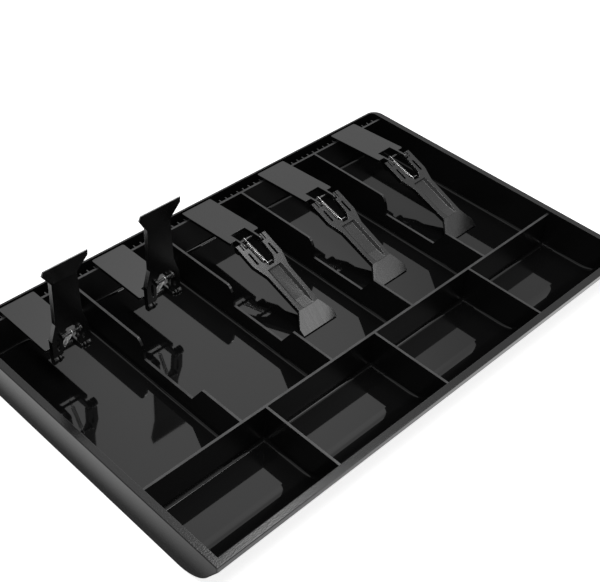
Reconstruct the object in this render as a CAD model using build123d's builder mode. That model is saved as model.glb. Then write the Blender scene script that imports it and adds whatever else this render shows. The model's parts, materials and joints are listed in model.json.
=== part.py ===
from build123d import *
import math
import os

# Cash drawer tray: four coin wells in front, five note pockets behind, and a sprung
# clip over each pocket that swings down on the notes or stands up out of the way.
# Millimetres. X runs along the tray, +Y to its rear, +Z up. The origin is the middle
# of the footprint on the surface that the tray stands on.

os.makedirs("parts", exist_ok=True)

# Tray outside
length = 405.0
depth = 255.0
height = 33.5
end_lean = 1.2  # how far each end wall leans in from the rim to the bottom
rim_width = 5.2
rim_round = 0.6
front_lip = 4.2  # upright band under the front rim, above the scoop
scoop_angle = 57.5  # slope of the front wall below the lip
scoop_radius = 31.0
rear_corner = 9.0
foot_round = 1.0
rear_wall = 1.8

# Tray inside
skin = 2.3  # floor and scooped front wall
wall = 1.8
wall_drop = 2.7  # inner walls stand this far below the rim
cross_wall_y = 70.5  # from the front, to the middle of the wall
gutter_width = 7.6
well_pitch_share = 0.2464
pocket_pitch_share = 0.1965
room_round = 2.5  # between a room's floor and its walls
dip_front_y = 106.7
dip_ramp = 9.9
dip_low = 47.9
dip_rise = 7.3
dip_depth = 15.0
rib_pitch = 5.88
rib_thick = 0.9
rib_reach = 2.7
rib_drop = 3.0

# Clip bracket
plate_width = 28.0
plate_length = 53.4
plate_thick = 2.4
plate_proud = 0.1  # above the rim
plate_rear_gap = 2.0  # to the tray's rear wall
plate_corner = 1.4
notch_width = 13.6
notch_depth = 7.5
ear_thick = 1.7
eye_radius = 2.4
pivot_ahead = 7.8  # of the plate's shoulders
pivot_drop = 2.7  # below the plate's top
pin_radius = 1.6
pin_length = 1.5
bar_radius = 1.1
bar_skin = 0.9
hitch_behind = 8.2  # spring bar behind and below the pivot
hitch_below = 1.7
hanger_depth = 20.0  # tongue that hooks into the gutter
hanger_gap = 0.3
tooth_gap = 1.0
clip_tilt = 3.75  # a lowered arm lifts its bracket by this much

# Clip arm, measured forward of the pivot along its face
face_height = 2.07  # face above the pivot
arm_thick = 3.7
boss_radius = 3.3
leg_overhang = 0.2  # past the plate's width
leg_inset = 1.0  # past the notch's width
leg_rear_inset = 0.3
prong_slit = 0.8
prong_wide = 1.4
eye_gap = 0.5
hip_run = 16.8
waist_run = 12.3
waist_half = 10.3
crease_run = 33.2
crease_half = 9.6
crotch_run = 5.3
crotch_half = 2.5
slot_start = 6.7
slot_length = 10.8
slot_wide = 1.7
slot_half = 9.6
channel_depth = 2.1
channel_half = 4.6
channel_slope = 2.0
channel_start = 2.4
channel_fade = 9.0
toe_length = 17.3
toe_angle = 21.5
toe_tip = 0.8
toe_half = 16.7
toe_widest = 12.0
toe_front_half = 16.3
tow_ahead = 18.2  # spring bar on the arm
tow_below = 2.65
arm_travel = 117.0  # from the pocket's floor to standing against its stop

# Spring
wire = 0.5
wire_sides = 6
coil_radius = 1.2  # to the middle of the wire
coil_turns = 12
hook_clear = 0.2
hook_lead = 1.5
hook_wrap = 225.0

# Fits and cuts
run_gap = 0.3
pin_gap = 0.05
overrun = 6.0

# Places along the tray in pitches, and how each clip stands
well_dividers = (-1, 0, 1)
pocket_dividers = (-1.5, -0.5, 0.5, 1.5)
clip_pockets = (-2, -1, 0, 1, 2)
clip_shift_steps = (0, 0, 0, -1, 0)
clip_raised = (True, True, False, False, False)
clip_short_of_stop = (3.0, 0, 0, 0, 0)

front = -depth / 2
rear = depth / 2
inner_half = length / 2 - rim_width
inner_front = front + rim_width
inner_rear = rear - rear_wall
wall_top = height - wall_drop
cross_y = front + cross_wall_y
gutter_front = inner_rear - gutter_width
gutter_y = gutter_front - wall / 2
well_pitch = length * well_pitch_share
pocket_pitch = length * pocket_pitch_share


def coin_well(left, right):
    """Room of a coin well; its front follows the scoop so that coins slide out."""
    slope = math.radians(scoop_angle)
    along = (rim_width - skin * math.sin(slope)) / math.cos(slope)
    bend_z = height - front_lip + skin * math.cos(slope) - along * math.sin(slope)
    run = (height - front_lip - scoop_radius * (1 - math.cos(slope))) / math.tan(slope)
    centre_y = front + run + scoop_radius * math.sin(slope)
    inner = scoop_radius - skin
    arc_top = (centre_y - inner * math.sin(slope), scoop_radius - inner * math.cos(slope))
    arc_foot = (centre_y, skin)
    back = cross_y - wall / 2
    with BuildPart() as room:
        with BuildSketch(Plane.YZ.offset(left)):
            with BuildLine():
                Polyline((inner_front, height + overrun), (inner_front, bend_z), arc_top)
                RadiusArc(arc_top, arc_foot, -inner)
                Polyline(arc_foot, (back, skin), (back, height + overrun), (inner_front, height + overrun))
            make_face()
        extrude(amount=right - left)
        sides = room.faces().filter_by(Axis.X).edges()
        seams = sides.filter_by(lambda edge: edge.center().Z < bend_z and edge.center().Y < back)
        seams += room.edges().filter_by(Axis.X).filter_by_position(Axis.Y, back, back).group_by(Axis.Z)[0]
        fillet(seams, room_round)
    return room.part


def note_pocket(left, right):
    """Room of a note pocket, straight walled, with a small radius round its floor."""
    near = cross_y + wall / 2
    far = gutter_y - wall / 2
    with BuildPart() as room:
        with BuildSketch(Plane.XY.offset(skin)):
            with Locations(((left + right) / 2, (near + far) / 2)):
                Rectangle(right - left, far - near)
        extrude(amount=height + overrun - skin)
        fillet(room.faces().sort_by(Axis.Z)[0].edges(), room_round)
    return room.part


def divider_spans(pitch, dividers):
    """Left and right faces of the rooms between the end walls and the dividers."""
    faces = [-inner_half]
    for step in dividers:
        faces += [step * pitch - wall / 2, step * pitch + wall / 2]
    faces.append(inner_half)
    return list(zip(faces[0::2], faces[1::2]))


# Tray
slope = math.radians(scoop_angle)
arc_rise = scoop_radius * (1 - math.cos(slope))
arc_start = (front + (height - front_lip - arc_rise) / math.tan(slope), arc_rise)
arc_end = (arc_start[0] + scoop_radius * math.sin(slope), 0)

with BuildPart() as tray:
    # Side view: scooped front, upright rear
    with BuildSketch(Plane.YZ):
        with BuildLine():
            Polyline((front, height), (front, height - front_lip), arc_start)
            RadiusArc(arc_start, arc_end, -scoop_radius)
            Polyline(arc_end, (rear, 0), (rear, height), (front, height))
        make_face()
    extrude(amount=length / 2, both=True)
    # End view: the end walls lean in
    with BuildSketch(Plane.XZ):
        with BuildLine():
            Polyline(
                (-length / 2, height),
                (end_lean - length / 2, 0),
                (length / 2 - end_lean, 0),
                (length / 2, height),
                close=True,
            )
        make_face()
    extrude(amount=depth, both=True, mode=Mode.INTERSECT)
    # Large corners behind, then one small radius round the ends, the scoop and the foot
    rear_edges = tray.faces().sort_by(Axis.Y)[-1].edges()
    fillet(rear_edges.filter_by(Axis.X, reverse=True), rear_corner)
    end_edges = tray.faces().sort_by(Axis.X)[0].edges() + tray.faces().sort_by(Axis.X)[-1].edges()
    before_corner = rear - 2 * rear_corner
    end_edges = end_edges.filter_by(lambda e: e.center().Y < before_corner)
    fillet(end_edges.filter_by(lambda e: e.center().Z < height - rim_round), foot_round)
    fillet(tray.faces().sort_by(Axis.Z)[-1].edges(), rim_round)
    # Rooms
    for left, right in divider_spans(well_pitch, well_dividers):
        add(coin_well(left, right), mode=Mode.SUBTRACT)
    for left, right in divider_spans(pocket_pitch, pocket_dividers):
        add(note_pocket(left, right), mode=Mode.SUBTRACT)
    # Gutter along the rear wall, its ends rounded inside the rear corners
    with BuildSketch(Plane.XY.offset(skin)) as gutter:
        with Locations((0, (gutter_front + inner_rear) / 2)):
            Rectangle(2 * inner_half, inner_rear - gutter_front)
        fillet(gutter.vertices().group_by(Axis.Y)[-1], rear_corner - rim_width)
    extrude(amount=height, mode=Mode.SUBTRACT)
    # Inner walls stop below the rim
    with BuildSketch(Plane.XY.offset(wall_top)):
        with Locations((0, (inner_front + gutter_front) / 2)):
            Rectangle(2 * inner_half, gutter_front - inner_front)
    extrude(amount=height, mode=Mode.SUBTRACT)
    # Finger dips in the dividers between the note pockets
    ramp_top = front + dip_front_y
    ramp_foot = ramp_top + dip_ramp
    rise_foot = ramp_foot + dip_low
    rise_top = rise_foot + dip_rise
    dip_z = wall_top - dip_depth
    with BuildSketch(Plane.YZ):
        with BuildLine():
            Polyline((ramp_top, height), (ramp_top, wall_top), (ramp_foot, dip_z), (rise_foot, dip_z))
            Bezier(
                (rise_foot, dip_z),
                (rise_foot, dip_z + dip_depth / 2),
                (rise_top - dip_rise / 2, wall_top),
                (rise_top, wall_top),
            )
            Polyline((rise_top, wall_top), (rise_top, height), (ramp_top, height))
        make_face()
    extrude(amount=inner_half, both=True, mode=Mode.SUBTRACT)
    # Ribs up the gutter's front wall that the clips' teeth drop between
    rib_steps = int(inner_half / rib_pitch - 1 / 2)
    rib_height = height - rib_drop - skin / 2
    with BuildSketch(Plane.XY.offset(skin / 2)):
        with Locations((0, gutter_y + (wall / 2 + rib_reach) / 2)):
            with GridLocations(rib_pitch, rib_pitch, 2 * rib_steps, 1):
                Rectangle(rib_thick, wall / 2 + rib_reach)
    extrude(amount=rib_height)
tray.part.label = "tray"
export_step(tray.part, "parts/tray.step")

# Clip bracket, level, with its middle at X 0
plate_top = height + plate_proud
plate_rear = inner_rear - plate_rear_gap
shoulder_y = plate_rear - plate_length
pivot_y = shoulder_y - pivot_ahead
pivot_z = plate_top - pivot_drop
hitch_y = pivot_y + hitch_behind
hitch_z = pivot_z - hitch_below
ear_in = notch_width / 2
ear_out = ear_in + ear_thick
lug_radius = bar_radius + bar_skin
hanger_lean = hanger_depth * math.sin(math.radians(clip_tilt))
tooth_front = gutter_front + hanger_gap + hanger_lean
hanger_front = tooth_front + rib_reach
notch_end = shoulder_y + notch_depth

with BuildPart() as bracket:
    # Plate with a notch between two tines
    with BuildSketch(Plane.XY.offset(plate_top - plate_thick)) as plate:
        with Locations((0, plate_rear - plate_length / 2)):
            RectangleRounded(plate_width, plate_length, plate_corner)
        with Locations((0, shoulder_y + notch_depth / 2)):
            Rectangle(notch_width, notch_depth, mode=Mode.SUBTRACT)
    extrude(amount=plate_thick)
    # An ear along each side of the notch, curving down and forward to the pivot
    for side in (-1, 1):
        with BuildSketch(Plane.YZ.offset(side * (ear_in + ear_thick / 2))):
            with BuildLine():
                Line((notch_end, plate_top), (shoulder_y, plate_top))
                Spline(
                    (shoulder_y, plate_top),
                    (pivot_y, pivot_z + eye_radius),
                    tangents=((-1, 0), (-1, 0)),
                )
                ThreePointArc(
                    (pivot_y, pivot_z + eye_radius),
                    (pivot_y - eye_radius, pivot_z),
                    (pivot_y, pivot_z - eye_radius),
                )
                Polyline(
                    (pivot_y, pivot_z - eye_radius),
                    (hitch_y, hitch_z - lug_radius),
                    (notch_end, plate_top - plate_thick),
                    (notch_end, plate_top),
                )
            make_face()
        extrude(amount=ear_thick / 2, both=True)
        # Stub pin that the arm's leg turns on
        with BuildSketch(Plane.YZ.offset(side * ear_out)):
            with Locations((pivot_y, pivot_z)):
                Circle(pin_radius)
        extrude(amount=side * pin_length)
    # Bar that holds the spring's rear hook
    with BuildSketch(Plane.YZ):
        with Locations((hitch_y, hitch_z)):
            Circle(bar_radius)
    extrude(amount=ear_in, both=True)
    # Tongue that hangs in the gutter, with teeth between the ribs of its front wall
    tooth_wide = rib_pitch - rib_thick - 2 * tooth_gap
    teeth = 2 * int((plate_width - tooth_wide) / 2 / rib_pitch) + 1
    with BuildSketch(Plane.XY.offset(plate_top - plate_thick)):
        with Locations((0, (hanger_front + plate_rear) / 2)):
            Rectangle(plate_width - 2 * plate_corner, plate_rear - hanger_front)
        with Locations((0, (tooth_front + hanger_front) / 2)):
            with GridLocations(rib_pitch, rib_pitch, teeth, 1):
                Rectangle(tooth_wide, rib_reach)
    extrude(amount=-hanger_depth)

# Clip arm, with its pivot at the origin, its face level and its toe towards -Y
leg_out = plate_width / 2 + leg_overhang
leg_in = ear_out + run_gap
leg_front_in = ear_in - leg_inset
eye_room = eye_radius + eye_gap
waist_y = hip_run + waist_run
crease_y = waist_y + crease_run
crotch_y = hip_run + crotch_run
toe = math.radians(toe_angle)
toe_y = crease_y + toe_length * math.cos(toe)
toe_z = face_height - toe_length * math.sin(toe)
tip_y = toe_y - toe_tip * math.sin(toe)
tip_z = toe_z - toe_tip * math.cos(toe)
arm_under = face_height - arm_thick
boss_top_y = math.sqrt(boss_radius**2 - face_height**2)
boss_front_y = math.sqrt(boss_radius**2 - arm_under**2)
channel_y = crotch_y + channel_start


def channel_section(y, sunk):
    """Cross-section of the shallow channel at one place along the arm's face."""
    slant = channel_slope * sunk / channel_depth
    rise = overrun * channel_slope / channel_depth
    with BuildSketch(Plane((0, -y, face_height), x_dir=(1, 0, 0), z_dir=(0, -1, 0))) as section:
        with BuildLine():
            Polyline(
                (-channel_half, -sunk),
                (channel_half, -sunk),
                (channel_half + slant + rise, overrun),
                (-channel_half - slant - rise, overrun),
                close=True,
            )
        make_face()
    return section.sketch


with BuildPart() as arm:
    # Face outline: two legs, hips, waist and the flared toe
    with BuildSketch(Plane.XY.offset(-overrun - arm_thick - toe_length)) as face:
        with BuildLine() as edge:
            Polyline(
                (0, -crotch_y),
                (crotch_half, -crotch_y),
                (leg_front_in, -hip_run),
                (ear_in - leg_rear_inset, -eye_room),
                (leg_in, -eye_room),
                (leg_in, boss_radius),
                (leg_out, boss_radius),
                (leg_out, -hip_run),
                (waist_half, -waist_y),
                (crease_half, -crease_y),
                (toe_half, -crease_y - toe_widest * math.cos(toe)),
                (toe_front_half, -toe_y),
                (0, -toe_y),
            )
            mirror(edge.line, about=Plane.YZ)
        make_face()
    extrude(amount=2 * (overrun + arm_thick + toe_length))
    # Side view: round at the pivot, flat face, toe bent down and thinned to its tip
    with BuildSketch(Plane.YZ):
        with BuildLine():
            Polyline(
                (boss_top_y, face_height),
                (-crease_y, face_height),
                (-toe_y, toe_z),
                (-tip_y, tip_z),
                (-crease_y, arm_under),
                (-boss_front_y, arm_under),
            )
            ThreePointArc((-boss_front_y, arm_under), (0, -boss_radius), (boss_top_y, face_height))
        make_face()
    extrude(amount=toe_half, both=True, mode=Mode.INTERSECT)
    # Channel down the middle of the face, fading out at the crease
    fade_y = crease_y - channel_fade
    loft([channel_section(channel_y, channel_depth), channel_section(fade_y, channel_depth)], mode=Mode.SUBTRACT)
    loft(
        [channel_section(fade_y, channel_depth), channel_section(crease_y, channel_depth / channel_fade)],
        mode=Mode.SUBTRACT,
    )
    # Slot in each leg, the slit that splits its end into prongs, and the pin hole
    for side in (-1, 1):
        with BuildSketch(Plane.XY.offset(-boss_radius)):
            with Locations((side * slot_half, -slot_start - slot_length / 2)):
                SlotOverall(slot_length, slot_wide, rotation=90)
            with Locations((side * (leg_in + prong_wide + prong_slit / 2), (boss_radius - eye_room) / 2)):
                Rectangle(prong_slit, boss_radius + eye_room)
        extrude(amount=2 * boss_radius, mode=Mode.SUBTRACT)
        with BuildSketch(Plane.YZ.offset(side * leg_in)):
            Circle(pin_radius + pin_gap)
        extrude(amount=side * (prong_wide + prong_slit / 2), mode=Mode.SUBTRACT)
        # Lug that carries one end of the spring bar
        with BuildSketch(Plane.YZ.offset(side * leg_front_in)) as lug:
            with Locations((-tow_ahead, -tow_below)):
                Circle(lug_radius)
            with Locations((-tow_ahead, (face_height - channel_depth - tow_below) / 2)):
                Rectangle(2 * lug_radius, face_height - channel_depth + tow_below)
        extrude(amount=side * ear_thick)
    with BuildSketch(Plane.YZ):
        with Locations((-tow_ahead, -tow_below)):
            Circle(bar_radius)
    extrude(amount=leg_front_in, both=True)

# A lowered arm lifts the front of its bracket, which tilts about its heel, and the tip
# of the toe stands just clear of the pocket's floor. Angles are measured down from the
# bracket's own level. A raised arm's bracket lies level, so it comes down less far.
tilt = math.radians(clip_tilt)
low_pivot_z = plate_top + (plate_rear - pivot_y) * math.sin(tilt) - pivot_drop * math.cos(tilt)
reach = math.hypot(tip_y, tip_z)
tip_angle = math.degrees(math.atan2(-tip_z, tip_y))
down_angle = math.degrees(math.asin((low_pivot_z - skin - run_gap) / reach)) - tip_angle + clip_tilt
level_down_angle = math.degrees(math.asin((pivot_z - skin - run_gap) / reach)) - tip_angle
up_angle = down_angle - arm_travel


def tow_point(angle):
    """Middle of the arm's spring bar when the arm hangs at this angle."""
    turn = math.radians(angle)
    y = -tow_ahead * math.cos(turn) + tow_below * math.sin(turn)
    z = -tow_ahead * math.sin(turn) - tow_below * math.cos(turn)
    return pivot_y + y, pivot_z + z


def spring_line(angle):
    """Length and downward angle of the spring between its two bars."""
    y, z = tow_point(angle)
    return math.hypot(y - hitch_y, z - hitch_z), math.degrees(math.atan2(hitch_z - z, hitch_y - y))


def biarc(start, start_way, end, end_way):
    """Point where two tangent arcs from start to end meet, and the way they run there."""
    chord = end - start
    both = start_way + end_way
    spread = 2 * (1 - start_way.dot(end_way))
    lean = chord.dot(both)
    if spread < 1e-9:
        pull = chord.dot(chord) / (2 * lean)
    else:
        pull = (math.sqrt(lean**2 + spread * chord.dot(chord)) - lean) / spread
    first = start + start_way * pull
    last = end - end_way * pull
    return (first + last) / 2, (last - first).normalized()


def spring(span):
    """Coil spring with a hook at each end, from the rear bar at the origin towards -Y."""
    hook = bar_radius + hook_clear + wire / 2
    body = span - 2 * (hook_lead + hook)
    rise = body / coil_turns / (2 * math.pi)
    scale = math.hypot(coil_radius, rise)
    stations = []
    wrap = math.radians(hook_wrap)
    for quarter in range(3, -1, -1):
        turn = wrap * quarter / 3
        spot = Vector(0, hook * math.sin(turn), hook * math.cos(turn))
        way = Vector(0, -math.cos(turn), math.sin(turn))
        stations.append((spot, way))
    for step in range(2 * coil_turns + 1):
        turn = math.pi * step
        spot = Vector(coil_radius * math.sin(turn), -hook - hook_lead - rise * turn, coil_radius * math.cos(turn))
        way = Vector(coil_radius * math.cos(turn), -rise, -coil_radius * math.sin(turn)) / scale
        stations.append((spot, way))
    for quarter in range(4):
        turn = wrap * quarter / 3
        spot = Vector(0, -span - hook * math.sin(turn), hook * math.cos(turn))
        way = Vector(0, -math.cos(turn), -math.sin(turn))
        stations.append((spot, way))
    with BuildPart() as coil:
        with BuildLine() as path:
            tail, way = stations[0]
            Line(tail - way * wire, tail)
            for (start, start_way), (end, end_way) in zip(stations, stations[1:]):
                middle, middle_way = biarc(start, start_way, end, end_way)
                TangentArc(start, middle, tangent=start_way)
                TangentArc(middle, end, tangent=middle_way)
            tail, way = stations[-1]
            Line(tail, tail + way * wire)
        with BuildSketch(Plane(path.line @ 0, z_dir=path.line % 0)):
            RegularPolygon(wire / 2, wire_sides)
        sweep()
    return coil.part, path.wire()


def least_gap(line):
    """Least clear distance between turns of the wire, measured on points along it."""
    count = 40 * coil_turns
    points = [line.position_at(i / count) for i in range(count + 1)]
    apart = int(2 * math.pi * coil_radius / 2 / (line.length / count))
    nearest = min(
        (points[i] - points[j]).length for i in range(count + 1) for j in range(i + apart, count + 1)
    )
    return nearest - wire


# Clips: bracket, arm and spring of each, copied into place
heel = Location((0, plate_rear, plate_top))
springs = {}
for number, pocket in enumerate(clip_pockets, 1):
    steps = round(pocket * pocket_pitch / rib_pitch) + clip_shift_steps[number - 1]
    if clip_raised[number - 1]:
        lift = 0
        angle = up_angle + clip_short_of_stop[number - 1]
        lowest = level_down_angle
    else:
        lift = clip_tilt
        angle = down_angle
        lowest = down_angle
    place = Location((steps * rib_pitch, 0, 0)) * heel * Location((0, 0, 0), (-lift, 0, 0)) * heel.inverse()
    span, spring_angle = spring_line(angle)
    if span not in springs:
        springs[span] = spring(span)
        print("spring", round(span, 2), "least gap", round(least_gap(springs[span][1]), 3))
    at_pivot = place * Location((0, pivot_y, pivot_z), (angle, 0, 0))
    at_hitch = place * Location((0, hitch_y, hitch_z), (spring_angle, 0, 0))
    for name, shape, where in (
        ("clip_bracket", bracket.part, place),
        ("clip_arm", arm.part, at_pivot),
        ("clip_spring", springs[span][0], at_hitch),
    ):
        piece = shape.moved(where)
        piece.label = name + "_" + str(number)
        export_step(piece, "parts/" + piece.label + ".step")
    print("clip", number, "pivot", at_pivot.position, "spring hook", at_hitch.position)
    print("swings from", round(angle - lowest, 2), "to", round(angle - up_angle, 2), "degrees, up is positive")
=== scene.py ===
# %% [markdown]
# This is the tray of a cash drawer, moulded in black plastic: four coin wells in front, five
# note pockets behind, and a sprung clip over each pocket. Two clips stand up and three are
# pressed down. Its construction could be drawn again here, but it comes from the packed
# model, so this script only has to dress it. Sizes are in metres, and places are read from
# the frame, so that none is typed twice.

# %% Load the fixed frame
import json
import math

import bmesh
import bpy
from mathutils import Matrix, Vector


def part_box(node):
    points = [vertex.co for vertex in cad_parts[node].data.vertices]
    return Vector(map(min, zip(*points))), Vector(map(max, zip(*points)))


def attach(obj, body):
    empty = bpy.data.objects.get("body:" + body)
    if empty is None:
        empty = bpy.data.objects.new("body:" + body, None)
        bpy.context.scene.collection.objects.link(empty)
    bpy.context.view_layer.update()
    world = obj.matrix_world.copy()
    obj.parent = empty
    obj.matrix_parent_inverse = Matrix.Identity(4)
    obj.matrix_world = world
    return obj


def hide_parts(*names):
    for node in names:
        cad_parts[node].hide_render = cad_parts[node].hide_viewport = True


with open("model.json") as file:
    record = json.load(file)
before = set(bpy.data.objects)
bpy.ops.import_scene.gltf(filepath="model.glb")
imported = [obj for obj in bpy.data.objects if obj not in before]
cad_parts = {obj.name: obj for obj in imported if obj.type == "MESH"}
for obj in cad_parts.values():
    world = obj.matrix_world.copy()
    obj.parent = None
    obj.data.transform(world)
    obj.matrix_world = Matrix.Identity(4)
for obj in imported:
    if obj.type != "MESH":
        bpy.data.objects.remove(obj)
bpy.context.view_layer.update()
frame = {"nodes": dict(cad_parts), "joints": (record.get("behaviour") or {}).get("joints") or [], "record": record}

MM = 0.001
scene = bpy.context.scene
clip_numbers = [1, 2, 3, 4, 5]
tray_low, tray_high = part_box("tray")

# %% [markdown]
# The photograph looks down on the tray from its front left corner and crops both ends. A
# camera could be nudged by hand until it seems right, but here it was worked out from the
# corners of the rim. So it is given as a bearing, a height above level, a small roll and a
# distance from one point that it aims at, on the tray's rim level. The lens follows from the
# focal length in pixels.

# %% Place the camera
bearing = math.radians(-47.116)
rise = math.radians(41.007)
roll = math.radians(3.512)
aim = Vector((-9.9, 3.4, 33.5)) * MM
aim_distance = 778.4 * MM
focal_px = 1132.3
image_wide_px = 600
sensor_wide = 36
nearest_seen = 10 * MM

back = Vector((math.sin(bearing) * math.cos(rise), -math.cos(bearing) * math.cos(rise), math.sin(rise)))
level_right = Vector((0, 0, 1)).cross(back).normalized()
level_up = back.cross(level_right)
right = level_right * math.cos(roll) + level_up * math.sin(roll)
up = level_up * math.cos(roll) - level_right * math.sin(roll)

camera_data = bpy.data.cameras.new("camera")
camera_data.sensor_fit = "HORIZONTAL"
camera_data.sensor_width = sensor_wide
camera_data.lens = sensor_wide * focal_px / image_wide_px
camera_data.clip_start = nearest_seen
camera = bpy.data.objects.new("camera", camera_data)
scene.collection.objects.link(camera)
turn = Matrix((right, up, back)).transposed().to_4x4()
camera.matrix_world = Matrix.Translation(aim + back * aim_distance) @ turn
scene.camera = camera
print("camera at", [round(v, 3) for v in camera.location], "lens", round(camera_data.lens, 1), "mm")

# %% [markdown]
# Every finish below is a small tree of shader nodes. The nodes could be joined one socket at
# a time, but then the joining hides what the tree does. A few helpers that add a node and
# link its inputs in one call let each finish read as a list of what it is made of.

# %% Helpers for node trees
white = (1, 1, 1, 1)


def new_material(name):
    """An empty node material and its tree."""
    material = bpy.data.materials.new(name)
    material.use_nodes = True
    material.node_tree.nodes.clear()
    return material, material.node_tree


def add_node(tree, kind, inputs=None, **settings):
    """Adds a node, sets its properties, and sets or links its inputs by name or number."""
    node = tree.nodes.new(kind)
    for key, value in settings.items():
        setattr(node, key, value)
    for key, value in (inputs or {}).items():
        if isinstance(value, bpy.types.NodeSocket):
            tree.links.new(value, node.inputs[key])
        else:
            node.inputs[key].default_value = value
    return node


def math_node(tree, operation, first, second=0.0):
    """One sum on two values or sockets."""
    return add_node(tree, "ShaderNodeMath", {0: first, 1: second}, operation=operation).outputs[0]


def ramp_node(tree, value, start, end, low=0.0, high=1.0):
    """Eases from low to high while the value goes from start to end."""
    inputs = {"Value": value, "From Min": start, "From Max": end, "To Min": low, "To Max": high}
    return add_node(tree, "ShaderNodeMapRange", inputs, interpolation_type="SMOOTHSTEP").outputs[0]


def object_place(tree):
    """The place on the object's own coordinates."""
    return add_node(tree, "ShaderNodeTexCoord").outputs["Object"]


def split_node(tree, vector):
    """The X, Y and Z of a vector."""
    return add_node(tree, "ShaderNodeSeparateXYZ", {0: vector}).outputs


def ray_kinds(tree):
    """Whether a ray is the camera's own, and whether it comes off a mirror or through glass."""
    ways = add_node(tree, "ShaderNodeLightPath").outputs
    off_mirror = math_node(tree, "MAXIMUM", ways["Is Glossy Ray"], ways["Is Transmission Ray"])
    return ways["Is Camera Ray"], off_mirror


print("helpers", [job.__name__ for job in (add_node, math_node, ramp_node, split_node, ray_kinds)])

# %% [markdown]
# The tray lies on white paper. A floor could be lit until it burns out to white, but the
# same light would then fall on the tray. So this floor is pale and glows for the camera,
# where it turns white and still keeps the tray's faint shadow. The gloss sees a glow of
# its own instead: a painted shadow, darker towards the tray's foot, and painted light along
# the left and the front, whose strength was chosen so that those walls match the photograph.

# %% Sheet of floor
floor_reach = 6.0
corners = ((-1, -1), (1, -1), (1, 1), (-1, 1))

floor_mesh = bpy.data.meshes.new("floor")
floor_mesh.from_pydata([(x * floor_reach, y * floor_reach, 0) for x, y in corners], [], [(0, 1, 2, 3)])
floor = bpy.data.objects.new("floor", floor_mesh)
scene.collection.objects.link(floor)
print("floor", 2 * floor_reach, "m square")

# %% Finish of the floor
floor_grey = (0.8, 0.8, 0.8, 1)
floor_glow = 0.82
# The floor's glow in the mirror is painted: a painted shadow at the tray's foot, and painted light along the left
# and the front.
painted_foot_shadow = 0.1
painted_left_light = (0.5, 0.9)  # mirrored in the left wall, at its front end and at its middle
painted_front_light = (1.2, 2.3)  # mirrored in the front, at its left and right ends
side_fade = 14 * MM
front_fade = 20 * MM

floor_material, tree = new_material("pale_floor")
place = split_node(tree, object_place(tree))
# Painted shadow: near each side of the tray the mirrored glow falls to the dark value at the foot.
off_left = ramp_node(tree, place["X"], tray_low.x, tray_low.x - side_fade, painted_foot_shadow)
off_right = ramp_node(tree, place["X"], tray_high.x, tray_high.x + side_fade, painted_foot_shadow)
off_front = ramp_node(tree, place["Y"], tray_low.y, tray_low.y - front_fade, painted_foot_shadow)
off_rear = ramp_node(tree, place["Y"], tray_high.y, tray_high.y + side_fade, painted_foot_shadow)
painted_light_along_left = ramp_node(tree, place["Y"], tray_low.y, 0.0, *painted_left_light)
painted_light_along_front = ramp_node(tree, place["X"], tray_low.x, tray_high.x, *painted_front_light)
mirrored = math_node(tree, "MULTIPLY", painted_light_along_left, off_left)
for side in (math_node(tree, "MULTIPLY", painted_light_along_front, off_front), off_right, off_rear):
    mirrored = math_node(tree, "MAXIMUM", mirrored, side)

from_camera, off_mirror = ray_kinds(tree)
glow = math_node(tree, "MULTIPLY", from_camera, floor_glow)
paper = add_node(tree, "ShaderNodeBsdfDiffuse", {"Color": floor_grey})
light = add_node(tree, "ShaderNodeEmission", {"Color": white, "Strength": glow})
lit_paper = add_node(tree, "ShaderNodeAddShader", {0: paper.outputs[0], 1: light.outputs[0]})
in_mirror = add_node(tree, "ShaderNodeEmission", {"Color": white, "Strength": mirrored})
both = {0: off_mirror, 1: lit_paper.outputs[0], 2: in_mirror.outputs[0]}
surface = add_node(tree, "ShaderNodeMixShader", both)
add_node(tree, "ShaderNodeOutputMaterial", {"Surface": surface.outputs[0]})
floor_mesh.materials.append(floor_material)
print("floor glows", floor_glow, "for the camera")

# %% [markdown]
# Polished black plastic shows little colour of its own. What the eye reads as its surface is
# the room in its mirror, broken where a wall or a clip stands in the way. A picture of a
# studio could light the scene, but a few eased steps by direction give the same room in
# numbers that can be changed one at a time. A white patch behind and to the right lies where
# the pocket floors look, a fainter light stands at the front right, and the side of the
# camera stays dark, as the walls that face it are.

# %% Sky
sky_fill = 0.14  # what the sky gives to matt surfaces
patch_bearing = math.radians(42.0)
patch_rise = math.radians(46.5)
patch_reach = math.radians(13.0)
patch_extra = 0.5
near_patch = 0.65
far_from_patch = 0.28
far_cosine = 0.45  # about 63 degrees from the patch the sky is darkest
side_bearing = math.radians(133.0)
side_rise = math.radians(41.0)
side_reach = math.radians(26.0)
side_extra = 0.5


def towards_node(tree, bearing, rise):
    """Cosine between a ray and a direction, which is clockwise from the rear and above level."""
    ray = add_node(tree, "ShaderNodeTexCoord").outputs["Generated"]
    way = (math.sin(bearing) * math.cos(rise), math.cos(bearing) * math.cos(rise), math.sin(rise))
    return add_node(tree, "ShaderNodeVectorMath", {0: ray, 1: way}, operation="DOT_PRODUCT").outputs["Value"]


world = bpy.data.worlds.new("white_room")
world.use_nodes = True
scene.world = world
tree = world.node_tree
tree.nodes.clear()
to_patch = towards_node(tree, patch_bearing, patch_rise)
to_side = towards_node(tree, side_bearing, side_rise)
patch = ramp_node(tree, to_patch, math.cos(patch_reach), 1.0, 0.0, patch_extra)
around = ramp_node(tree, to_patch, far_cosine, math.cos(patch_reach), far_from_patch, near_patch)
side_light = ramp_node(tree, to_side, math.cos(side_reach), 1.0, 0.0, side_extra)
mirrored = math_node(tree, "ADD", math_node(tree, "ADD", patch, around), side_light)

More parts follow.
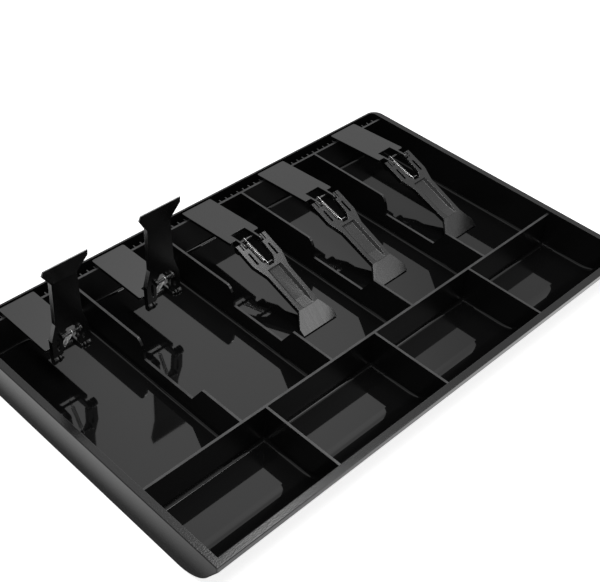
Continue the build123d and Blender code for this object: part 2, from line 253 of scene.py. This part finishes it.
from_camera, off_mirror = ray_kinds(tree)
plain = math_node(tree, "MAXIMUM", from_camera, sky_fill)
plain_sky = add_node(tree, "ShaderNodeBackground", {"Color": white, "Strength": plain})
in_mirror = add_node(tree, "ShaderNodeBackground", {"Color": white, "Strength": mirrored})
sky = add_node(tree, "ShaderNodeMixShader", {0: off_mirror, 1: plain_sky.outputs[0], 2: in_mirror.outputs[0]})
add_node(tree, "ShaderNodeOutputWorld", {"Surface": sky.outputs[0]})
scene.view_settings.view_transform = "Standard"
print("mirrored sky from", far_from_patch, "to", near_patch + patch_extra)

# %% [markdown]
# Three square soft boxes add what the sky is too even for. The key box stands high at the
# right. It lights the tops of the dividers, the faces of the lowered arms and the left end
# of the front rim. The toe box is low at the front right, and lights the flared toes and the
# lines at the foot of the cross wall. The front box gives the springs, the clips' legs and
# the foot of the left wall their highlights. Point lamps would be simpler, but on gloss they
# leave hard white dots where a soft box leaves a soft mark.

# %% Lamps
tray_middle = Vector((0, 0, 0))
soft_boxes = {
    "key_box": {"place": (0.52, 0.26, 1.56), "size": 0.62, "brightness": 7},
    "toe_box": {"place": (0.62, -0.77, 0.68), "size": 0.3, "brightness": 2},
    "front_box": {"place": (-0.46, -0.38, 1.35), "size": 0.45, "brightness": 12},
}


def soft_box(name, place, size, brightness):
    """A square lamp at a place in metres, turned to the tray. Brightness 1 looks white."""
    data = bpy.data.lights.new(name, "AREA")
    data.shape = "SQUARE"
    data.size = size
    data.energy = brightness * math.pi * size**2
    lamp = bpy.data.objects.new(name, data)
    scene.collection.objects.link(lamp)
    lamp.location = place
    lamp.rotation_euler = (Vector(place) - tray_middle).to_track_quat("Z", "Y").to_euler()
    return lamp


for name, box in soft_boxes.items():
    lamp = soft_box(name, **box)
    print(lamp.name, round(lamp.data.energy, 2), "W")

# %% [markdown]
# Plastic and wire are never quite even: a mould leaves grain, a gate leaves streaks, and a
# die leaves lines along a wire. An image could carry such marks, but noise on the object's
# own coordinates has no seams and goes with the piece when it moves.

# %% Helpers for finishes
def noise_node(tree, place, bumps_a_metre, detail):
    """Random relief of so many bumps a metre, with finer detail on them."""
    inputs = {"Vector": place, "Scale": bumps_a_metre, "Detail": detail}
    return add_node(tree, "ShaderNodeTexNoise", inputs).outputs["Fac"]


def add_share(tree, base, value, share):
    """A base with a share of another value added to it."""
    return math_node(tree, "ADD", base, math_node(tree, "MULTIPLY", value, share))


def mix_colours(tree, factor, first, second):
    """Blends two colours, each a triple or a socket, by a value or socket."""
    ends = [end if isinstance(end, bpy.types.NodeSocket) else (*end, 1) for end in (first, second)]
    return add_node(tree, "ShaderNodeMix", {0: factor, 6: ends[0], 7: ends[1]}, data_type="RGBA").outputs[2]


def finish_surface(tree, inputs):
    """Ends a tree in one surface with these inputs, and says how large the tree is."""
    surface = add_node(tree, "ShaderNodeBsdfPrincipled", inputs)
    add_node(tree, "ShaderNodeOutputMaterial", {"Surface": surface.outputs[0]})
    print("surface of", len(tree.nodes), "nodes")


# %% [markdown]
# The tray is polished on its floors, where notes and coins slide, and finely grained on its
# rim and outer walls, where hands and the drawer rub it. The walls between its rooms are
# less polished than the floors, and their upward tops carry a painted highlight, a lighter
# grey in patches. Each could be a material of its own on its own faces. Masks do it in one:
# they are worked out from the place on the object and from the way a face points, so they follow the tray's real
# sizes.

# %% Masks over the tray
rim_wide = 5.2 * MM
rear_wide = 1.8 * MM
mask_soft = 0.3 * MM
tops_above = 12 * MM
top_cosine = 0.75
wall_cosine = 0.1
slope_cosine = 0.35

tray_material, tree = new_material("tray_plastic")
spot = object_place(tree)
place = split_node(tree, spot)
face_up = split_node(tree, add_node(tree, "ShaderNodeNewGeometry").outputs["Normal"])["Z"]


def outside_of(tree, value, low, high):
    """0 between low and high, rising to 1 within a short step outside them."""
    off = math_node(tree, "ABSOLUTE", math_node(tree, "SUBTRACT", value, (low + high) / 2))
    return ramp_node(tree, off, (high - low) / 2, (high - low) / 2 + mask_soft)


ends = outside_of(tree, place["X"], tray_low.x + rim_wide, tray_high.x - rim_wide)
sides = outside_of(tree, place["Y"], tray_low.y + rim_wide, tray_high.y - rear_wide)
outer = math_node(tree, "MAXIMUM", ends, sides)
inner = math_node(tree, "SUBTRACT", 1.0, outer)
raised = math_node(tree, "GREATER_THAN", place["Z"], tops_above)
upward = math_node(tree, "GREATER_THAN", face_up, top_cosine)
tops = math_node(tree, "MULTIPLY", math_node(tree, "MULTIPLY", raised, upward), inner)
upright = ramp_node(tree, math_node(tree, "ABSOLUTE", face_up), slope_cosine, wall_cosine)
room_walls = math_node(tree, "MULTIPLY", upright, inner)
print("grained rim", round(rim_wide / MM, 1), "mm wide, tops above", round(tops_above / MM), "mm")

# %% Tray plastic
floor_rough = 0.035
wave_rough = 0.02
grain_rough = 0.1
top_rough = 0.3
wall_rough = 0.26
grain_deep = 0.1 * MM
grain_strength = 0.55
inside_black = (0.0045, 0.0045, 0.0046)
outside_black = (0.009, 0.009, 0.0092)
# The grey below is a painted highlight for the upward tops of the room walls.
painted_highlight_grey = (0.05, 0.05, 0.051)
least_painted_highlight = 0.5
painted_highlight_between = (0.35, 0.65)
grain_noise = (950.0, 3.0)  # bumps a metre and detail, here and in the next two
painted_highlight_noise = (90.0, 3.0)
wave_noise = (14.0, 1.0)
tray_ior = 1.5

grain = noise_node(tree, spot, *grain_noise)
painted_highlight_spread = noise_node(tree, spot, *painted_highlight_noise)
waves = noise_node(tree, spot, *wave_noise)
rough = add_share(tree, floor_rough, waves, wave_rough)
rough = add_share(tree, rough, outer, grain_rough)
rough = add_share(tree, rough, tops, top_rough)
rough = add_share(tree, rough, room_walls, wall_rough)
relief = {
    "Strength": grain_strength,
    "Distance": grain_deep,
    "Height": math_node(tree, "MULTIPLY", grain, outer),
}
bump = add_node(tree, "ShaderNodeBump", relief).outputs[0]
# Painted highlight: the upward tops of the room walls are mixed towards a lighter grey, in patches from the noise.
patches = ramp_node(tree, painted_highlight_spread, *painted_highlight_between, least_painted_highlight, 1.0)
painted_highlight_on_tops = math_node(tree, "MULTIPLY", tops, patches)
colour = mix_colours(tree, outer, inside_black, outside_black)
colour = mix_colours(tree, painted_highlight_on_tops, colour, painted_highlight_grey)
finish_surface(tree, {"Base Color": colour, "Roughness": rough, "Normal": bump, "IOR": tray_ior})

# %% [markdown]
# The clips are a harder, satin plastic, with faint flow lines from the mould that run along
# each piece. A stretched noise makes such lines: it changes quickly across the clip and
# slowly along it. It could be painted as light and dark, but on black it shows mostly as
# gloss, so it drives the roughness and a very shallow relief as well as the colour.

# %% Clip plastic
clip_rough = 0.18
streak_rough = 0.1
streak_share = 0.6
clip_relief = {"Strength": 0.25, "Distance": 0.04 * MM}
streaks_a_metre = (900.0, 60.0, 60.0)
streak_noise = (1.0, 2.0)
clip_noise = (1500.0, 2.0)
clip_blacks = ((0.002, 0.002, 0.0021), (0.004, 0.004, 0.0041))
clip_ior = 1.78

clip_material, tree = new_material("clip_plastic")
spot = object_place(tree)
grain = noise_node(tree, spot, *clip_noise)
stretched = add_node(tree, "ShaderNodeMapping", {"Vector": spot, "Scale": streaks_a_metre}).outputs[0]
streak = noise_node(tree, stretched, *streak_noise)
rough = add_share(tree, clip_rough, streak, streak_rough)
height = add_share(tree, grain, streak, streak_share)
bump = add_node(tree, "ShaderNodeBump", {**clip_relief, "Height": height}).outputs[0]
shade = mix_colours(tree, streak, *clip_blacks)
finish_surface(tree, {"Base Color": shade, "Roughness": rough, "Normal": bump, "IOR": clip_ior})

# %% [markdown]
# The springs are bright drawn wire. A plain metal would mirror the dark half of the room and
# look black from here. Real wire has fine draw marks that scatter light along it, so it is a
# little rough and uneven, and not quite all metal.

# %% Spring steel
wire_rough = 0.25
draw_rough = 0.15
wire_metal = 0.8
wire_noise = (2500.0, 2.0)
wire_tones = ((0.86, 0.86, 0.86), (0.97, 0.97, 0.96))

steel_material, tree = new_material("spring_steel")
drawn = noise_node(tree, object_place(tree), *wire_noise)
rough = add_share(tree, wire_rough, drawn, draw_rough)
tone = mix_colours(tree, drawn, *wire_tones)
finish_surface(tree, {"Base Color": tone, "Roughness": rough, "Metallic": wire_metal})

# %% [markdown]
# Each clip snaps over centre because a thin coil spring pulls its arm towards the bracket.
# The spring has fourteen turns, a little apart while it is stretched, and an open hook at
# each end. A curve could be drawn point by point, but the wire follows a rule: an arc, a
# spiral and an arc. Geometry Nodes make the three, number their points in order, thread one
# wire through them all and give it its thickness.

# %% Sizes of a spring
spring_sizes = {
    "Span": 25 * MM,
    "Turns": 14.0,
    "Coil radius": 1.2 * MM,
    "Wire radius": 0.3 * MM,
    "Hook radius": 1.5 * MM,
    "Lead": 1.6 * MM,
    "Wrap": math.radians(225.0),
}
steps_a_turn = 14
wire_sides = 10
hook_steps = 16
coil_starts = 1000.0  # numbers that keep the hooks' and the coil's points in order
front_hook_starts = 9000.0

spring_tree = bpy.data.node_groups.new("wound_spring", "GeometryNodeTree")
interface = spring_tree.interface
interface.new_socket(name="Geometry", in_out="INPUT", socket_type="NodeSocketGeometry")
for name, value in spring_sizes.items():
    interface.new_socket(name=name, in_out="INPUT", socket_type="NodeSocketFloat").default_value = value
interface.new_socket(name="Wire", in_out="INPUT", socket_type="NodeSocketMaterial")
interface.new_socket(name="Geometry", in_out="OUTPUT", socket_type="NodeSocketGeometry")
given = add_node(spring_tree, "NodeGroupInput").outputs
print("spring inputs", [socket.name for socket in given if socket.name])

# %% The two hooks and the coil as curves
hook_and_lead = math_node(spring_tree, "ADD", given["Hook radius"], given["Lead"])
both_ends = math_node(spring_tree, "MULTIPLY", hook_and_lead, 2.0)
body = math_node(spring_tree, "SUBTRACT", given["Span"], both_ends)
unwrap = math_node(spring_tree, "MULTIPLY", given["Wrap"], -1.0)


def hook_curve(start, sweep):
    """An open hook round a bar, from a start angle through a sweep."""
    bend = {"Radius": given["Hook radius"], "Start Angle": start, "Sweep Angle": sweep}
    return add_node(spring_tree, "GeometryNodeCurveArc", {"Resolution": hook_steps, **bend})


rear_hook = hook_curve(given["Wrap"], unwrap)
front_hook = hook_curve(0.0, given["Wrap"])
coil_inputs = {
    "Resolution": steps_a_turn,
    "Rotations": given["Turns"],
    "Start Radius": given["Coil radius"],
    "End Radius": given["Coil radius"],
    "Height": body,
}
coil = add_node(spring_tree, "GeometryNodeCurveSpiral", coil_inputs)
print("hooks of", hook_steps, "points and a coil of", steps_a_turn, "a turn")


# %% One wire through all three
def axes(x_to, y_to, z_to):
    """Turn that takes the three axes to these directions, as an Euler."""
    return Matrix((x_to, y_to, z_to)).transposed().to_euler()


def numbered_points(curve, turn, offset, first):
    """Points of a curve, turned, moved back along the spring and numbered from first."""
    back = math_node(spring_tree, "MULTIPLY", offset, -1.0)
    shift = add_node(spring_tree, "ShaderNodeCombineXYZ", {"Y": back}).outputs[0]
    moved = {"Geometry": curve.outputs[0], "Rotation": turn, "Translation": shift}
    put = add_node(spring_tree, "GeometryNodeTransform", moved).outputs[0]
    points = add_node(spring_tree, "GeometryNodeCurveToPoints", {"Curve": put}, mode="EVALUATED")
    index = add_node(spring_tree, "GeometryNodeInputIndex").outputs[0]
    order = math_node(spring_tree, "ADD", index, first)
    named = {"Geometry": points.outputs["Points"], "Name": "order", "Value": order}
    kind = {"data_type": "FLOAT", "domain": "POINT"}
    return add_node(spring_tree, "GeometryNodeStoreNamedAttribute", named, **kind).outputs[0]


strands = [
    numbered_points(rear_hook, axes((0, 0, 1), (0, 1, 0), (-1, 0, 0)), 0.0, 0.0),
    numbered_points(coil, axes((0, 0, 1), (-1, 0, 0), (0, -1, 0)), hook_and_lead, coil_starts),
    numbered_points(front_hook, axes((0, 0, 1), (0, -1, 0), (1, 0, 0)), given["Span"], front_hook_starts),
]
joined = add_node(spring_tree, "GeometryNodeJoinGeometry")
for strand in strands:
    spring_tree.links.new(strand, joined.inputs[0])
order = add_node(spring_tree, "GeometryNodeInputNamedAttribute", {"Name": "order"}, data_type="FLOAT")
strung = {"Points": joined.outputs[0], "Weight": order.outputs[0]}
threaded = add_node(spring_tree, "GeometryNodePointsToCurves", strung)
section_inputs = {"Resolution": wire_sides, "Radius": given["Wire radius"]}
section = add_node(spring_tree, "GeometryNodeCurvePrimitiveCircle", section_inputs)
swept = {"Curve": threaded.outputs[0], "Profile Curve": section.outputs[0], "Fill Caps": True}
wire = add_node(spring_tree, "GeometryNodeCurveToMesh", swept)
smooth = add_node(spring_tree, "GeometryNodeSetShadeSmooth", {"Geometry": wire.outputs[0]})
real = add_node(spring_tree, "GeometryNodeRealizeInstances", {"Geometry": smooth.outputs[0]})
dressed = {"Geometry": real.outputs[0], "Material": given["Wire"]}
finished = add_node(spring_tree, "GeometryNodeSetMaterial", dressed)
add_node(spring_tree, "NodeGroupOutput", {0: finished.outputs[0]})
print("spring tree with", len(spring_tree.nodes), "nodes")

# %% [markdown]
# A spring hangs between the bar on its bracket and the bar on its arm, so a raised clip's
# is shorter than a lowered clip's. Its length could be typed for each clip, but the packed
# model already has the same spring with fewer turns, and its far hook shows where the bar
# is. So the span is measured there, the tree winds a spring of that span, and the result is
# turned into a plain mesh in its place.

# %% Wind the five springs between their bars
tip_depth = 0.1 * MM  # how much of the far hook is taken to find its bar
sockets = {item.name: item.identifier for item in interface.items_tree if item.in_out == "INPUT"}


def spring_line(number):
    """A spring's hinge on the bracket, the way from there to its arm, and its span."""
    hinge = next(joint for joint in frame["joints"] if joint["name"] == f"spring_swing_{number}")
    near = Vector(hinge["pos_m"])
    ways = [v.co - near for v in frame["nodes"][f"clip_spring_{number}"].data.vertices]
    longest = max(way.length for way in ways)
    tips = [way for way in ways if way.length > longest - tip_depth]
    reach = sum(tips, Vector()) / len(tips)
    span = longest - spring_sizes["Hook radius"] - spring_sizes["Wire radius"]
    return near, Vector((0, reach.y, reach.z)).normalized(), span


def wound_mesh(span):
    """A spring of this span as a plain mesh, from the origin towards minus Y."""
    helper = bpy.data.objects.new("spring_helper", bpy.data.meshes.new("spring_helper"))
    scene.collection.objects.link(helper)
    modifier = helper.modifiers.new("wind", "NODES")
    modifier.node_group = spring_tree
    modifier[sockets["Span"]] = span
    modifier[sockets["Wire"]] = steel_material
    seen = helper.evaluated_get(bpy.context.evaluated_depsgraph_get())
    mesh = bpy.data.meshes.new_from_object(seen)
    bpy.data.objects.remove(helper)
    return mesh


def wound_spring(number):
    """A spring between its two bars, in place of its node."""
    near, along, span = spring_line(number)
    mesh = wound_mesh(span)
    mesh.name = f"wound_spring_{number}"
    across = Vector((1, 0, 0))
    turn = Matrix((across, -along, across.cross(-along))).transposed().to_4x4()
    mesh.transform(Matrix.Translation(near) @ turn)
    spring = bpy.data.objects.new(mesh.name, mesh)
    scene.collection.objects.link(spring)
    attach(spring, f"spring_{number}")
    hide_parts(f"clip_spring_{number}")
    print(spring.name, "span", round(span / MM, 2), "mm,", len(mesh.polygons), "faces")


for number in clip_numbers:
    wound_spring(number)

# %% [markdown]
# A moulded edge is never knife sharp. It has a radius of a few tenths of a millimetre, and
# on black plastic that radius draws the bright line round each plate and leg. A round could
# be imitated with a bump, but a real one catches the light from every side. So each arm and
# bracket gets a merged copy of its solid with a small bevel on its sharp edges, and the copy
# stands in for the node. Faces with a hole are first cut into plain ones, because a bevel
# can fold a face that wraps round a hole.

# %% Ease the edges of the arms and brackets
edge_ease = 0.22 * MM
ease_steps = 2
sharp_from = math.radians(35.0)
flat_within = math.radians(0.5)
weld = 0.001 * MM


def merged_copy(name):
    """A mesh like a node's, with its loose triangles merged into whole flat faces."""
    mesh = frame["nodes"][name].data.copy()
    mesh.name = f"eased_{name}"
    shell = bmesh.new()
    shell.from_mesh(mesh)
    bmesh.ops.remove_doubles(shell, verts=shell.verts, dist=weld)
    bmesh.ops.dissolve_limit(shell, angle_limit=flat_within, verts=shell.verts, edges=shell.edges)
    bmesh.ops.connect_verts_concave(shell, faces=shell.faces)
    shell.to_mesh(mesh)
    shell.free()
    mesh.materials.clear()
    mesh.materials.append(clip_material)
    return mesh


def eased_copy(name, body):
    """A copy of a clip's moulded piece with rounded edges, in place of its node."""
    mesh = merged_copy(name)
    piece = bpy.data.objects.new(mesh.name, mesh)
    scene.collection.objects.link(piece)
    round_over = piece.modifiers.new("round_over", "BEVEL")
    round_over.width = edge_ease
    round_over.segments = ease_steps
    round_over.limit_method = "ANGLE"
    round_over.angle_limit = sharp_from
    round_over.use_clamp_overlap = False
    round_over.harden_normals = True
    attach(piece, body)
    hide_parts(name)
    seen = piece.evaluated_get(bpy.context.evaluated_depsgraph_get())
    print(piece.name, len(mesh.polygons), "faces, rounded", len(seen.data.polygons))


for number in clip_numbers:
    eased_copy(f"clip_bracket_{number}", f"bracket_{number}")
    eased_copy(f"clip_arm_{number}", f"arm_{number}")

# %% [markdown]
# The tray's own solid already has its rounds, so its node stays in the picture and only
# takes its finish. The nodes that a copy stands in for are still in the model, where they
# could be left plain, but each takes the finish of its slot in the record too. Then it looks
# right wherever it is used alone.

# %% Finish the nodes
finishes = {"tray": tray_material, "clip": clip_material, "spring": steel_material}
for part in frame["record"]["subparts"]:
    solid = frame["nodes"][part["node"]].data
    solid.materials.clear()
    solid.materials.append(finishes[part["material_slot"]])
